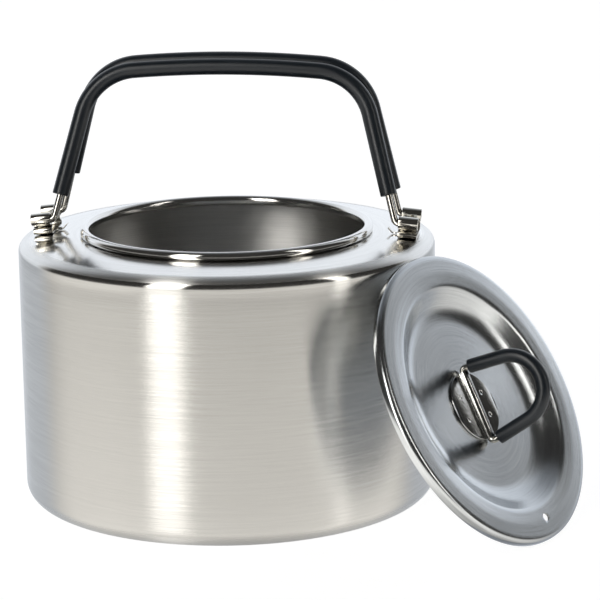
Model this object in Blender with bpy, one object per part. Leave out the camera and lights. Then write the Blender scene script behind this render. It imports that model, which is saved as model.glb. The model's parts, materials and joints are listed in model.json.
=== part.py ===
"""Camping kettle: a steel pot with two folding bails, and its lid set down against the wall.

The pot is one drawn sheet. Its mouth is rolled into a bead that the lid's skirt slips over.
On the shoulder, left and right, one stamped strip is curled into two eyes. Each bail is a wire
whose feet turn outward into those eyes, with a hose over it as a grip. The lid lies against the
pot at the front right: the foot of its skirt is on the ground and its upper edge on the wall.

Metres, +Z up. The pot stands on z = 0 with its axis on Z, the bails turn about lines along X,
and the front is -Y.
"""

import math

import bmesh
import bpy
import numpy as np
from mathutils import Vector

MM = 0.001

# Driving sizes of the pot
POT_R = 90.0 * MM
POT_H = 113.5 * MM
POT_SHEET = 0.8 * MM
BASE_FILLET = 7.5 * MM
SHOULDER_FILLET = 4.2 * MM
EDGE_SLOPE = 7.5
MOUTH_SLOPE = 0.6
BEAD_INSET = 28.7 * MM
BEAD_TUBE_R = 2.1 * MM
BEAD_LIFT = 1.45 * MM
BEAD_END_ANGLE = -22.0
NECK_FILLET = 1.0 * MM

# Driving sizes of the hinge strips
HINGE_INSET = 10.5 * MM
HINGE_Y = 10.04 * MM
HINGE_LIFT = 7.1 * MM
HINGE_WIDTH = 8.3 * MM
STRIP_SHEET = 0.5 * MM
STRIP_BEND = 1.2 * MM
EYE_END_ANGLE = -122.0
TONGUE_WIDTH = 3.6 * MM
TONGUE_REACH = 3.0 * MM
TONGUE_TIP = 2.6 * MM
TONGUE_RISE = 45.0

# Driving sizes of the bails
BAIL_WIRE_R = 1.5 * MM
BAIL_HEIGHT = 66.5 * MM
BAIL_INSET = 16.0 * MM
BAIL_LEAN = 14.06
BAIL_FOOT_BEND = 2.2 * MM
BAIL_CORNER = 25.0 * MM
BAIL_BOW = 490.0 * MM
HOSE_R = 3.5 * MM
FRONT_BARE_RIGHT = 11.4 * MM
FRONT_BARE_LEFT = 10.2 * MM
REAR_BARE_RIGHT = 10.1 * MM
REAR_BARE_LEFT = 16.7 * MM
REAR_TILT = 3.3

# Driving sizes of the lid and its handle
LID_SHEET = 0.5 * MM
LID_SKIRT = 4.0 * MM
LID_FILLET = 2.2 * MM
LID_RING = 14.2 * MM
LID_CREST_DROP = 0.4 * MM
LID_SLOPE = 9.0 * MM
LID_FLOOR_BEND = 15.0 * MM
LID_DEPTH = 7.3 * MM
VENT_R = 1.75 * MM
VENT_INSET = 8.9 * MM
VENT_ANGLE = -89.7
PLATE_R = 14.9 * MM
PLATE_SHEET = 0.6 * MM
PLATE_ASIDE = 0.7 * MM
PLATE_DROP = 1.5 * MM
HANDLE_WIRE_R = 1.3 * MM
HANDLE_HEIGHT = 30.6 * MM
HANDLE_LEAN = 7.9
HANDLE_FOOT = 9.0 * MM
HANDLE_BEND = 1.6 * MM
GRIP_R = 2.95 * MM
GRIP_START = 3.0 * MM
HANDLE_ANGLE = 84.0
HANDLE_TILT = 12.6

# How the lid lies against the pot
LID_LEAN_ANGLE = 59.55
LID_FACING_ANGLE = 63.75
LID_ASIDE = 4.1 * MM

# Clearances
SEAT_GAP = 0.3 * MM
WIRE_PLAY = 0.25 * MM
BORE_PLAY = 0.4 * MM
LID_PLAY = 0.3 * MM
FOOT_PLAY = 0.4 * MM
BAIL_REST_GAP = 0.3 * MM

# Fineness of the facets
POT_STEPS = 56
LID_STEPS = 56
WIRE_SIDES = 2
HOSE_SIDES = 3


def sin(degrees):
    return math.sin(math.radians(degrees))


def cos(degrees):
    return math.cos(math.radians(degrees))


def arc(centre, radius, start, end, count):
    """Points round a centre from one angle to another in degrees, both ends included."""
    angles = [start + (end - start) * step / count for step in range(count + 1)]
    return [(centre[0] + radius * cos(angle), centre[1] + radius * sin(angle)) for angle in angles]


def fillet(corner, first, second, radius, count):
    """Arc in the corner of two rays, from the first ray to the second."""
    corner, first, second = Vector(corner), Vector(first).normalized(), Vector(second).normalized()
    half = first.angle(second) / 2
    centre = corner + (first + second).normalized() * radius / math.sin(half)
    start = corner + first * radius / math.tan(half) - centre
    end = corner + second * radius / math.tan(half) - centre
    from_angle = math.degrees(math.atan2(start.y, start.x))
    turn = math.degrees(math.atan2(start.x * end.y - start.y * end.x, start.dot(end)))
    return arc(centre, radius, from_angle, from_angle + turn, count)


# Mouth, hinges and bails keep their distance from the wall when the pot gets wider, and the
# lid follows the mouth.
BEAD_R = POT_R - BEAD_INSET
HINGE_X = POT_R - HINGE_INSET
BAIL_SPREAD = POT_R - BAIL_INSET
LID_R = BEAD_R + BEAD_TUBE_R + LID_PLAY + LID_SHEET
LID_CREST_R = LID_R - LID_RING
LID_FLOOR_R = LID_CREST_R - LID_SLOPE
VENT_PLACE_R = LID_R - VENT_INSET

# The shoulder is a shallow crown: an arc that starts on the fillet at the wall and is almost
# level at the neck. Everything on the shoulder takes its height from this arc.
NECK_R = BEAD_R - BEAD_TUBE_R + POT_SHEET / 2
CROWN_IN = NECK_R + NECK_FILLET
CROWN_OUT = POT_R - SHOULDER_FILLET * (1 - sin(EDGE_SLOPE))
CROWN_RADIUS = (CROWN_OUT - CROWN_IN) / (sin(EDGE_SLOPE) - sin(MOUTH_SLOPE))
CROWN_AXIS = CROWN_OUT - CROWN_RADIUS * sin(EDGE_SLOPE)
FILLET_Z = POT_H - SHOULDER_FILLET
CROWN_Z = FILLET_Z + (SHOULDER_FILLET - CROWN_RADIUS) * cos(EDGE_SLOPE)


def shoulder_z(radius):
    """Height of the shoulder's outer face at a distance from the pot's axis."""
    return CROWN_Z + np.sqrt(CROWN_RADIUS ** 2 - (radius - CROWN_AXIS) ** 2)


BEAD_Z = float(shoulder_z(CROWN_IN)) + BEAD_LIFT
HINGE_Z = float(shoulder_z(HINGE_X)) + HINGE_LIFT
HINGE_SLOPE = math.degrees(math.asin((HINGE_X - CROWN_AXIS) / CROWN_RADIUS))


def finish(obj, colour, roughness, metallic):
    """Give an object a Principled material of its own."""
    material = bpy.data.materials.new(obj.name)
    material.use_nodes = True
    shader = material.node_tree.nodes["Principled BSDF"]
    shader.inputs["Base Color"].default_value = (*colour, 1)
    shader.inputs["Roughness"].default_value = roughness
    shader.inputs["Metallic"].default_value = metallic
    material.diffuse_color = (*colour, 1)
    obj.data.materials.append(material)


def steel(obj, roughness=0.25):
    finish(obj, (0.62, 0.60, 0.57), roughness, 1.0)


def rubber(obj):
    finish(obj, (0.028, 0.031, 0.036), 0.55, 0.0)


def add_object(name, data, parent=None):
    obj = bpy.data.objects.new(name, data)
    bpy.context.collection.objects.link(obj)
    obj.parent = parent
    return obj


def add_empty(name, location, rotation, parent=None):
    """An empty on a joint's axis or at a seat, which carries the pieces that move with it."""
    empty = add_object(name, None, parent)
    empty.location = location
    empty.rotation_euler = [math.radians(angle) for angle in rotation]
    return empty


def as_tool(obj):
    """Mark an object as a cutter or a half of a union, which isn't a piece itself."""
    obj.hide_render = True
    obj.display_type = "WIRE"
    return obj


def combine(obj, tool, operation):
    boolean = obj.modifiers.new(tool.name, "BOOLEAN")
    boolean.operation = operation
    boolean.solver = "EXACT"
    boolean.object = tool


def turned_sheet(name, outline, sheet, steps, parent=None):
    """Turn an open outline of (radius, height) points round Z and thicken it to a sheet."""
    mesh = bpy.data.meshes.new(name)
    points = [(radius, 0, height) for radius, height in outline]
    edges = [(index, index + 1) for index in range(len(points) - 1)]
    mesh.from_pydata(points, edges, [])
    obj = add_object(name, mesh, parent)
    screw = obj.modifiers.new("Turn", "SCREW")
    screw.steps = steps
    screw.render_steps = steps
    screw.use_merge_vertices = True
    screw.merge_threshold = 0.01 * MM
    screw.use_smooth_shade = True
    solidify = obj.modifiers.new("Sheet", "SOLIDIFY")
    solidify.thickness = sheet
    solidify.offset = 0
    solidify.use_even_offset = True
    return obj


def ribbon(middle, sheet):
    """Closed outline of a bent strip, half a sheet to each side of its middle line."""
    points = [Vector(point) for point in middle]
    left, right = [], []
    for index, point in enumerate(points):
        before = (point - points[index - 1]).normalized() if index else None
        after = (points[index + 1] - point).normalized() if index + 1 < len(points) else None
        along = ((before or after) + (after or before)).normalized()
        across = Vector((-along.y, along.x))
        reach = sheet / 2 / along.dot(before or after)
        left.append(point + across * reach)
        right.append(point - across * reach)
    return left + right[::-1]


def extruded(name, outline, width, across_y=False, parent=None):
    """Solid of a closed outline, carried evenly to both sides along X or, if asked, along Y."""
    form = bmesh.new()
    if across_y:
        corners = [form.verts.new((u, -width / 2, v)) for u, v in outline]
    else:
        corners = [form.verts.new((-width / 2, u, v)) for u, v in outline]
    face = form.faces.new(corners)
    made = bmesh.ops.extrude_face_region(form, geom=[face])["geom"]
    moved = [part for part in made if isinstance(part, bmesh.types.BMVert)]
    step = (0, width, 0) if across_y else (width, 0, 0)
    bmesh.ops.translate(form, vec=step, verts=moved)
    bmesh.ops.recalc_face_normals(form, faces=form.faces)
    mesh = bpy.data.meshes.new(name)
    form.to_mesh(mesh)
    form.free()
    mesh.shade_smooth()
    mesh.set_sharp_from_angle(angle=math.radians(35))
    return add_object(name, mesh, parent)


def cylinder(name, radius, height, steps, parent=None):
    """Upright cylinder round its own middle."""
    form = bmesh.new()
    bmesh.ops.create_cone(
        form, cap_ends=True, segments=steps, radius1=radius, radius2=radius, depth=height)
    mesh = bpy.data.meshes.new(name)
    form.to_mesh(mesh)
    form.free()
    return add_object(name, mesh, parent)


def rod(name, path, radius, sides, parent, bore=None):
    """Round rod along (x, z) points, or a hose where a bore is given."""
    curve = bpy.data.curves.new(name, "CURVE")
    curve.dimensions = "3D"
    spline = curve.splines.new("POLY")
    spline.points.add(len(path) - 1)
    for point, (x, z) in zip(spline.points, path):
        point.co = (x, 0, z, 1)
    spline.use_smooth = True
    curve.bevel_depth = radius
    curve.bevel_resolution = sides
    curve.use_fill_caps = bore is None
    obj = add_object(name, curve, parent)
    if bore is not None:
        wall = obj.modifiers.new("Wall", "SOLIDIFY")
        wall.thickness = radius - bore
        wall.offset = -1
        wall.use_even_offset = True
    return obj


def length_along(path):
    steps = [math.dist(a, b) for a, b in zip(path, path[1:])]
    return [0] + list(np.cumsum(steps))


def stretch(path, start, end):
    """The part of a path between two lengths along it."""
    lengths = length_along(path)
    xs = [point[0] for point in path]
    zs = [point[1] for point in path]
    inner = [point for point, at in zip(path, lengths) if start < at < end]
    ends = [(float(np.interp(at, lengths, xs)), float(np.interp(at, lengths, zs))) for at in (start, end)]
    return [ends[0], *inner, ends[1]]


def mirrored(half):
    """A whole path from its half, which ends on the middle line x = 0."""
    return half + [(-x, z) for x, z in half[-2::-1]]


def bail_half():
    """Half of a bail's middle line, from the end of its foot to the top of its bow."""
    up = (-sin(BAIL_LEAN), cos(BAIL_LEAN))
    foot = fillet((BAIL_SPREAD, 0), (1, 0), up, BAIL_FOOT_BEND, 4)
    bow_centre = Vector((0, BAIL_HEIGHT - BAIL_BOW))
    base = Vector((BAIL_SPREAD - BAIL_CORNER * cos(BAIL_LEAN), -BAIL_CORNER * sin(BAIL_LEAN)))
    away = base - bow_centre
    along = away.dot(Vector(up))
    rise = -along + math.sqrt(along ** 2 - away.length_squared + (BAIL_BOW - BAIL_CORNER) ** 2)
    centre = base + Vector(up) * rise
    meet = math.degrees(math.atan2(centre.y - bow_centre.y, centre.x))
    corner = arc(centre, BAIL_CORNER, BAIL_LEAN, meet, 7)
    bow = arc(bow_centre, BAIL_BOW, meet, 90, 3)
    foot_end = HINGE_X + HINGE_WIDTH / 2 - FOOT_PLAY
    return [(foot_end, 0), *foot, *corner, *bow[1:]]


def handle_half():
    """Half of the lid handle's middle line: a foot, a leg and a quarter of the loop."""
    spread = PLATE_R + SEAT_GAP + HANDLE_WIRE_R
    up = (-sin(HANDLE_LEAN), cos(HANDLE_LEAN))
    foot = fillet((spread, 0), (-1, 0), up, HANDLE_BEND, 5)
    reach = spread * cos(HANDLE_LEAN) - HANDLE_HEIGHT * sin(HANDLE_LEAN)
    radius = reach / (1 - sin(HANDLE_LEAN))
    loop = arc((0, HANDLE_HEIGHT - radius), radius, HANDLE_LEAN, 90, 7)
    return [(PLATE_R - HANDLE_FOOT, 0), *foot, *loop]


def make_pot():
    """The pot's sheet: rolled bead, neck, crowned shoulder, wall, and flat bottom."""
    half = POT_SHEET / 2
    bead = arc((BEAD_R, BEAD_Z), BEAD_TUBE_R - half, BEAD_END_ANGLE, 180, 7)
    neck_z = BEAD_Z - BEAD_LIFT - half + NECK_FILLET
    neck = arc((CROWN_IN, neck_z), NECK_FILLET, 180, 270, 2)
    crown = arc((CROWN_AXIS, CROWN_Z), CROWN_RADIUS - half, 90 - MOUTH_SLOPE, 90 - EDGE_SLOPE, 4)
    edge = arc((POT_R - SHOULDER_FILLET, FILLET_Z), SHOULDER_FILLET - half, 90 - EDGE_SLOPE, 0, 4)
    base = arc((POT_R - BASE_FILLET, BASE_FILLET), BASE_FILLET - half, 0, -90, 4)
    outline = [*bead, *neck, *crown[1:], *edge[1:], *base, (0, half)]
    pot = turned_sheet("kettle_body", outline, POT_SHEET, POT_STEPS)
    steel(pot, 0.22)


def strip_middle():
    """Middle line of one half of a hinge strip, from the middle of its base to the eye's lip.

    The strip runs out on the shoulder, turns back over itself, rises, and curls over the
    bail's foot. Its points are (y, z) from the middle between both eyes, on their axes.
    """
    eye = BAIL_WIRE_R + WIRE_PLAY + HINGE_WIDTH / 2 * math.tan(math.radians(HINGE_SLOPE))
    curl = eye + STRIP_SHEET / 2
    base_z = SEAT_GAP + STRIP_SHEET / 2 - HINGE_LIFT * cos(HINGE_SLOPE)
    riser = HINGE_Y - curl
    turn = (riser + STRIP_BEND, base_z + STRIP_BEND)
    out = arc(turn, STRIP_BEND, -90, 90, 6)
    back = arc((turn[0], turn[1] + 2 * STRIP_BEND), STRIP_BEND, 270, 180, 3)
    eye_curl = arc((HINGE_Y, 0), curl, 180, EYE_END_ANGLE, 12)
    return [*out, *back[1:], *eye_curl], base_z


def make_hinge_strip(name, side):
    """One stamped strip with its two eyes and the tongue that reaches toward the mouth."""
    half, base_z = strip_middle()
    middle = [(-y, z) for y, z in half[::-1]] + half
    strip = extruded(name, ribbon(middle, STRIP_SHEET), HINGE_WIDTH)
    inner = -HINGE_WIDTH / 2
    bend = inner - TONGUE_REACH
    tip = (bend - TONGUE_TIP * cos(TONGUE_RISE), base_z + TONGUE_TIP * sin(TONGUE_RISE))
    tongue_line = [(inner + STRIP_SHEET, base_z), (bend, base_z), tip]
    outline = ribbon(tongue_line, STRIP_SHEET)
    tongue = as_tool(extruded(name + "_tongue", outline, TONGUE_WIDTH, across_y=True, parent=strip))
    combine(strip, tongue, "UNION")
    strip.location = (side * HINGE_X, 0, HINGE_Z)
    turn = 0 if side > 0 else 180
    strip.rotation_euler = (0, math.radians(HINGE_SLOPE), math.radians(turn))
    steel(strip, 0.18)


def front_tilt():
    """How far the front bail leans back until its hose meets the rear bail's hose."""
    rear_top = Vector((2 * HINGE_Y + BAIL_HEIGHT * sin(REAR_TILT), BAIL_HEIGHT * cos(REAR_TILT)))
    apart = 2 * HOSE_R + BAIL_REST_GAP
    reach = rear_top.length
    cosine = (reach ** 2 + BAIL_HEIGHT ** 2 - apart ** 2) / (2 * reach * BAIL_HEIGHT)
    return math.degrees(math.atan2(rear_top.x, rear_top.y) - math.acos(cosine))


def make_bail(name, side, tilt, bare_right, bare_left):
    """A bail on its hinge line: the wire, and the hose that is its grip.

    The hose leaves each leg bare up to a height over the hinge line.
    """
    axis = add_empty(name + "_axis", (0, side * HINGE_Y, HINGE_Z), (-tilt, 0, 0))
    half = bail_half()
    path = mirrored(half)
    wire = rod(name + "_wire", path, BAIL_WIRE_R, WIRE_SIDES, axis)
    steel(wire, 0.15)
    foot = HINGE_X + HINGE_WIDTH / 2 - FOOT_PLAY - BAIL_SPREAD
    start = foot + bare_right / cos(BAIL_LEAN)
    end = length_along(path)[-1] - foot - bare_left / cos(BAIL_LEAN)
    sleeve = stretch(path, start, end)
    hose = rod(name + "_grip", sleeve, HOSE_R, HOSE_SIDES, axis, bore=BAIL_WIRE_R + BORE_PLAY)
    rubber(hose)


def lid_outline():
    """Middle line of the lid's sheet from its centre to the free edge of its skirt."""
    half = LID_SHEET / 2
    ring = (LID_R - LID_FILLET, -LID_FILLET)
    rim = arc(ring, LID_FILLET - half, 90, 0, 4)
    floor_z = -LID_DEPTH - half
    slope = (LID_SLOPE, LID_DEPTH - LID_CREST_DROP)
    bend = fillet((LID_FLOOR_R, floor_z), (-1, 0), slope, LID_FLOOR_BEND, 2)
    crest = (LID_CREST_R, -LID_CREST_DROP - half)
    crown = ((LID_CREST_R + ring[0]) / 2, -half)
    return [(0, floor_z), *bend, crest, crown, *rim, (LID_R - half, -LID_SKIRT)]


def pot_clearance(points):
    """Distance of points from the pot's outer face: wall, fillet, or crowned shoulder."""
    radius = np.hypot(points[:, 0], points[:, 1])
    height = points[:, 2]
    wall = radius - POT_R
    edge = np.hypot(radius - POT_R + SHOULDER_FILLET, height - FILLET_Z) - SHOULDER_FILLET
    crown = height - shoulder_z(np.minimum(radius, CROWN_OUT))
    above = np.where(radius > CROWN_OUT, edge, crown)
    return np.where(height > FILLET_Z, above, wall)


def lid_seat():
    """Centre and axes of the lid where its foot is on the ground and its edge on the pot."""
    facing = np.array([sin(LID_FACING_ANGLE), -cos(LID_FACING_ANGLE), 0])
    normal = facing * sin(LID_LEAN_ANGLE) + np.array([0, 0, cos(LID_LEAN_ANGLE)])
    level = np.array([cos(LID_FACING_ANGLE), sin(LID_FACING_ANGLE), 0])
    upward = np.cross(normal, level)
    height = LID_SKIRT * cos(LID_LEAN_ANGLE) + LID_R * sin(LID_LEAN_ANGLE)
    turns = np.radians(np.arange(0, 360, 5))
    inner_face = [(radius + LID_SHEET / 2, depth - LID_SHEET / 2) for radius, depth in lid_outline()]
    cloud = np.array([
        radius * math.cos(turn) * level + radius * math.sin(turn) * upward + depth * normal
        for radius, depth in inner_face for turn in turns])
    near, far = POT_R, POT_R + 2 * LID_R
    for _ in range(50):
        middle = (near + far) / 2
        centre = facing * middle + level * LID_ASIDE + np.array([0, 0, height])
        if pot_clearance(cloud + centre).min() > SEAT_GAP:
            far = middle
        else:
            near = middle
    return facing * far + level * LID_ASIDE + np.array([0, 0, height])


def make_lid():
    """The lid in its seat: sheet with the vent hole, handle plate, and folding handle."""
    seat = add_empty("lid_seat", lid_seat(), (LID_LEAN_ANGLE, 0, LID_FACING_ANGLE))
    shell = turned_sheet("lid_shell", lid_outline(), LID_SHEET, LID_STEPS, seat)
    steel(shell, 0.28)
    drill = as_tool(cylinder("vent_drill", VENT_R, 4 * LID_SHEET, 12, seat))
    drill.location = (VENT_PLACE_R * cos(VENT_ANGLE), VENT_PLACE_R * sin(VENT_ANGLE), -LID_SHEET / 2)
    combine(shell, drill, "DIFFERENCE")
    make_handle(seat)


def make_handle(seat):
    """The round plate with its channel, and the wire loop and hose that turn in it."""
    axis_height = SEAT_GAP + HANDLE_WIRE_R
    spot = (-PLATE_ASIDE, -PLATE_DROP, -LID_DEPTH)
    place = add_empty("handle_plate_seat", spot, (0, 0, HANDLE_ANGLE), seat)
    channel = HANDLE_WIRE_R + WIRE_PLAY + PLATE_SHEET / 2
    flat_z = SEAT_GAP + PLATE_SHEET / 2
    arch = arc((0, axis_height), channel, 180, 0, 10)
    blank = 2.4 * PLATE_R
    middle = [(-blank / 2, flat_z), (-channel, flat_z), *arch, (channel, flat_z), (blank / 2, flat_z)]
    plate = extruded("lid_handle_plate", ribbon(middle, PLATE_SHEET), blank, parent=place)
    disc = as_tool(cylinder("plate_disc", PLATE_R, blank, 40, place))
    combine(plate, disc, "INTERSECT")
    steel(plate, 0.3)
    axis = add_empty("lid_handle_axis", (0, 0, axis_height), (HANDLE_TILT, 0, 0), place)
    path = mirrored(handle_half())
    wire = rod("lid_handle_wire", path, HANDLE_WIRE_R, WIRE_SIDES, axis)
    steel(wire, 0.15)
    start = HANDLE_FOOT + GRIP_START + HANDLE_WIRE_R
    end = length_along(path)[-1] - start
    sleeve = stretch(path, start, end)
    grip = rod("lid_handle_grip", sleeve, GRIP_R, HOSE_SIDES, axis, bore=HANDLE_WIRE_R + BORE_PLAY)
    rubber(grip)


def print_axes():
    """Print each joint's place and direction in the world, in metres."""
    bpy.context.view_layer.update()
    for name in ("front_bail_axis", "rear_bail_axis", "lid_seat", "lid_handle_axis"):
        world = bpy.data.objects[name].matrix_world
        place = [round(value, 6) for value in world.translation]
        along = [round(value, 6) for value in world.col[0].xyz]
        print(name, "at", place, "along", along)


def main():
    for obj in list(bpy.data.objects):
        bpy.data.objects.remove(obj, do_unlink=True)
    make_pot()
    make_hinge_strip("right_hinge_bracket", 1)
    make_hinge_strip("left_hinge_bracket", -1)
    make_bail("front_bail", -1, front_tilt(), FRONT_BARE_RIGHT, FRONT_BARE_LEFT)
    make_bail("rear_bail", 1, REAR_TILT, REAR_BARE_RIGHT, REAR_BARE_LEFT)
    make_lid()
    print_axes()


main()
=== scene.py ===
# %% [markdown]
# A camping kettle of spun and stamped steel, with two bails gripped in black hose, and its lid
# set down against the wall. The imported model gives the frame: bodies, joints and sizes. Every
# piece below is made in metres in that frame, so nothing has to be fitted afterwards.

# %% Load the frame
import json
import math

import bmesh
import bpy
import numpy as np
from mathutils import Euler, Matrix, Vector


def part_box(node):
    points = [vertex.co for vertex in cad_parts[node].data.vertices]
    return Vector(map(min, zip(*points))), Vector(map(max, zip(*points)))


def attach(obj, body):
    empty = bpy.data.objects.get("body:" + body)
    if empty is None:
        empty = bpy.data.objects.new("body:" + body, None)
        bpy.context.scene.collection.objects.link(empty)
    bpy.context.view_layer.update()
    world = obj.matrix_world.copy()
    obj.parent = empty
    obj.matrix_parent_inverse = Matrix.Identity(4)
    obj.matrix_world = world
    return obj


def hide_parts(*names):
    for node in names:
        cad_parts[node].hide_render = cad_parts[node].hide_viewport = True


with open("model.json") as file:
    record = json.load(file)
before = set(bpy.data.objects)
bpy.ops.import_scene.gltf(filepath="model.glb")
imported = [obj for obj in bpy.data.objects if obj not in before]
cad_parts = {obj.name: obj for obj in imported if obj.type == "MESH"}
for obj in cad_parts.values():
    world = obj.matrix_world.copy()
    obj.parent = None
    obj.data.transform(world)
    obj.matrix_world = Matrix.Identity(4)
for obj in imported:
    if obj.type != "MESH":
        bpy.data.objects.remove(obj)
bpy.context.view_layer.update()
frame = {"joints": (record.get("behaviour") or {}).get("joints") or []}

MM = 0.001
joints = {joint["name"]: joint for joint in frame["joints"]}

# %% [markdown]
# The camera comes first, because every later choice is judged through it. The photograph looks
# down on the kettle from about a metre away with a long lens, which keeps the pot's sides almost
# parallel. Turning round Z, then down, then about the line of sight gives each angle its own
# plain number.

# %% Camera
CAMERA_PLACE = Vector((0.1661, -1.0913, 0.3429))
CAMERA_YAW = 7.03
CAMERA_PITCH = 13.21
CAMERA_ROLL = -0.77
CAMERA_LENS = 156.06


def add_camera():
    """Camera looking along +Y, turned by yaw, tipped down by pitch and rolled about its own axis."""
    data = bpy.data.cameras.new("camera")
    data.lens = CAMERA_LENS
    data.sensor_width = 36
    data.clip_start = 0.01
    camera = bpy.data.objects.new("camera", data)
    bpy.context.scene.collection.objects.link(camera)
    turn = Matrix.Rotation(math.radians(CAMERA_YAW), 4, "Z")
    tip = Matrix.Rotation(math.radians(90 - CAMERA_PITCH), 4, "X")
    roll = Matrix.Rotation(math.radians(CAMERA_ROLL), 4, "Z")
    camera.matrix_world = Matrix.Translation(CAMERA_PLACE) @ turn @ tip @ roll
    bpy.context.scene.camera = camera


add_camera()
bpy.context.scene.view_settings.view_transform = "Standard"

# %% [markdown]
# A line is worked out first and a surface after it. Pots and bent wire are made of straight runs
# and arcs, so three small helpers are enough: an arc, a chain of straight runs with rounded
# corners, and a way to space the points of any line evenly.


# %% Lines
def cosd(angle):
    return math.cos(math.radians(angle))


def sind(angle):
    return math.sin(math.radians(angle))


def arc(centre, radius, start, end, count):
    """Arc: centre + radius * (cos a, sin a), with a from start to end in degrees."""
    angles = np.radians(np.linspace(start, end, count))
    return np.column_stack([centre[0] + radius * np.cos(angles), centre[1] + radius * np.sin(angles)])


def corner_arc(before, corner, after, radius, count):
    """Arc that rounds one corner: it touches both rays at radius / tan(half their angle)."""
    first = (before - corner) / np.linalg.norm(before - corner)
    second = (after - corner) / np.linalg.norm(after - corner)
    half = math.acos(np.clip(first @ second, -1, 1)) / 2
    middle = (first + second) / np.linalg.norm(first + second)
    centre = corner + middle * radius / math.sin(half)
    start = corner + first * radius / math.tan(half) - centre
    end = corner + second * radius / math.tan(half) - centre
    turn = math.degrees(math.atan2(start[0] * end[1] - start[1] * end[0], start @ end))
    begin = math.degrees(math.atan2(start[1], start[0]))
    return arc(centre, radius, begin, begin + turn, count)


def rounded(points, radii, count=9):
    """Chain of straight runs whose inner corners are replaced by arcs of the given radii."""
    points = np.array(points, float)
    pieces = [points[:1]]
    for index, radius in enumerate(radii, start=1):
        pieces.append(corner_arc(points[index - 1], points[index], points[index + 1], radius, count))
    return np.vstack([*pieces, points[-1:]])


def lengths_of(path):
    """Length along a line at each of its points."""
    return np.append(0, np.cumsum(np.linalg.norm(np.diff(path, axis=0), axis=1)))


def at_lengths(path, at, values=None):
    """Points of a line, or values that belong to its points, read at given lengths along it."""
    values = path if values is None else values
    lengths = lengths_of(path)
    return np.column_stack([np.interp(at, lengths, values[:, axis]) for axis in range(2)])


def stretch(path, start, end, step):
    """The part of a line between two lengths, with points about one step apart."""
    return at_lengths(path, np.linspace(start, end, max(2, int((end - start) / step))))


def normals_of(path):
    """Unit normals of a flat line, to the left of its run: the mean direction turned by 90 degrees."""
    along = np.gradient(path, axis=0)
    along /= np.linalg.norm(along, axis=1)[:, None]
    return np.column_stack([-along[:, 1], along[:, 0]])


# %% [markdown]
# A surface is a grid of points. Neighbouring rows and columns are joined into faces, each row
# closes into a ring, and points that fall together at a pole are welded. Turning, sweeping and
# thickening are then only different ways to fill that grid. Where two solids have to be one, a
# Boolean joins them or takes one away from the other.


# %% Surfaces
WELD_DISTANCE = 0.0005 * MM
SHARP_ANGLE = 40
AROUND = 240


def piece(name, grid, ring_rows=False):
    """Closed mesh of a grid: face (i, j) joins points (i, j), (i+1, j), (i+1, j+1), (i, j+1).

    A hose also joins its last row to its first, because its bore runs back to the start.
    """
    rows, columns = grid.shape[:2]
    index = np.arange(rows * columns).reshape(rows, columns)
    index = np.vstack([index, index[:1]]) if ring_rows else index
    index = np.column_stack([index, index[:, :1]])
    quads = np.stack([index[:-1, :-1], index[1:, :-1], index[1:, 1:], index[:-1, 1:]], axis=-1)
    mesh = bpy.data.meshes.new(name)
    mesh.from_pydata(grid.reshape(-1, 3).tolist(), [], quads.reshape(-1, 4).tolist())
    form = bmesh.new()
    form.from_mesh(mesh)
    bmesh.ops.remove_doubles(form, verts=form.verts, dist=WELD_DISTANCE)
    bmesh.ops.recalc_face_normals(form, faces=form.faces)
    form.to_mesh(mesh)
    form.free()
    mesh.shade_smooth()
    mesh.set_sharp_from_angle(angle=math.radians(SHARP_ANGLE))
    obj = bpy.data.objects.new(name, mesh)
    bpy.context.scene.collection.objects.link(obj)
    print(name, "faces", len(mesh.polygons))
    return obj


def sheet_loop(middle, thickness):
    """Outline of a bent sheet: half a thickness to the right, round the free edge, and back."""
    aside = normals_of(middle) * thickness / 2
    edge_turn = np.radians(np.linspace(-90, 90, 7)[1:-1])
    along = np.array([aside[-1][1], -aside[-1][0]])
    edge = [middle[-1] + along * math.cos(turn) + aside[-1] * math.sin(turn) for turn in edge_turn]
    return np.vstack([middle - aside, edge, (middle + aside)[::-1]])


def turned(outline):
    """Surface of revolution round Z: point (r, z) goes to (r cos a, r sin a, z)."""
    angles = np.radians(np.linspace(0, 360, AROUND, endpoint=False))
    radius = outline[:, 0][:, None]
    height = np.repeat(outline[:, 1][:, None], AROUND, axis=1)
    return np.stack([radius * np.cos(angles), radius * np.sin(angles), height], axis=-1)


def capped(grid):
    """Grid closed at both ends: its first and last ring each gather in their middle."""
    middles = grid[[0, -1]].mean(axis=1, keepdims=True)
    ends = np.repeat(middles, grid.shape[1], axis=1)
    return np.vstack([ends[:1], grid, ends[1:]])


def tube(path, radius, sides, normals=None):
    """Round section carried along a flat (x, z) line: centre + radius (cos a N + sin a Y)."""
    normals = normals_of(path) if normals is None else normals
    angles = np.radians(np.linspace(0, 360, sides, endpoint=False))
    reach = np.broadcast_to(radius, len(path))[:, None]
    x = path[:, 0][:, None] + reach * np.cos(angles) * normals[:, 0][:, None]
    z = path[:, 1][:, None] + reach * np.cos(angles) * normals[:, 1][:, None]
    y = reach * np.broadcast_to(np.sin(angles), (len(path), sides))
    return np.stack([x, y, z], axis=-1)


def placed(grid, matrix):
    """Grid moved by a 4 x 4 matrix: rotation times point, plus place."""
    matrix = np.array(matrix)
    return grid @ matrix[:3, :3].T + matrix[:3, 3]


def placing(place, angles):
    """Matrix of a place and three turns about X, Y and Z in degrees."""
    turns = Euler([math.radians(angle) for angle in angles]).to_matrix().to_4x4()
    return Matrix.Translation(place) @ turns


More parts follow.
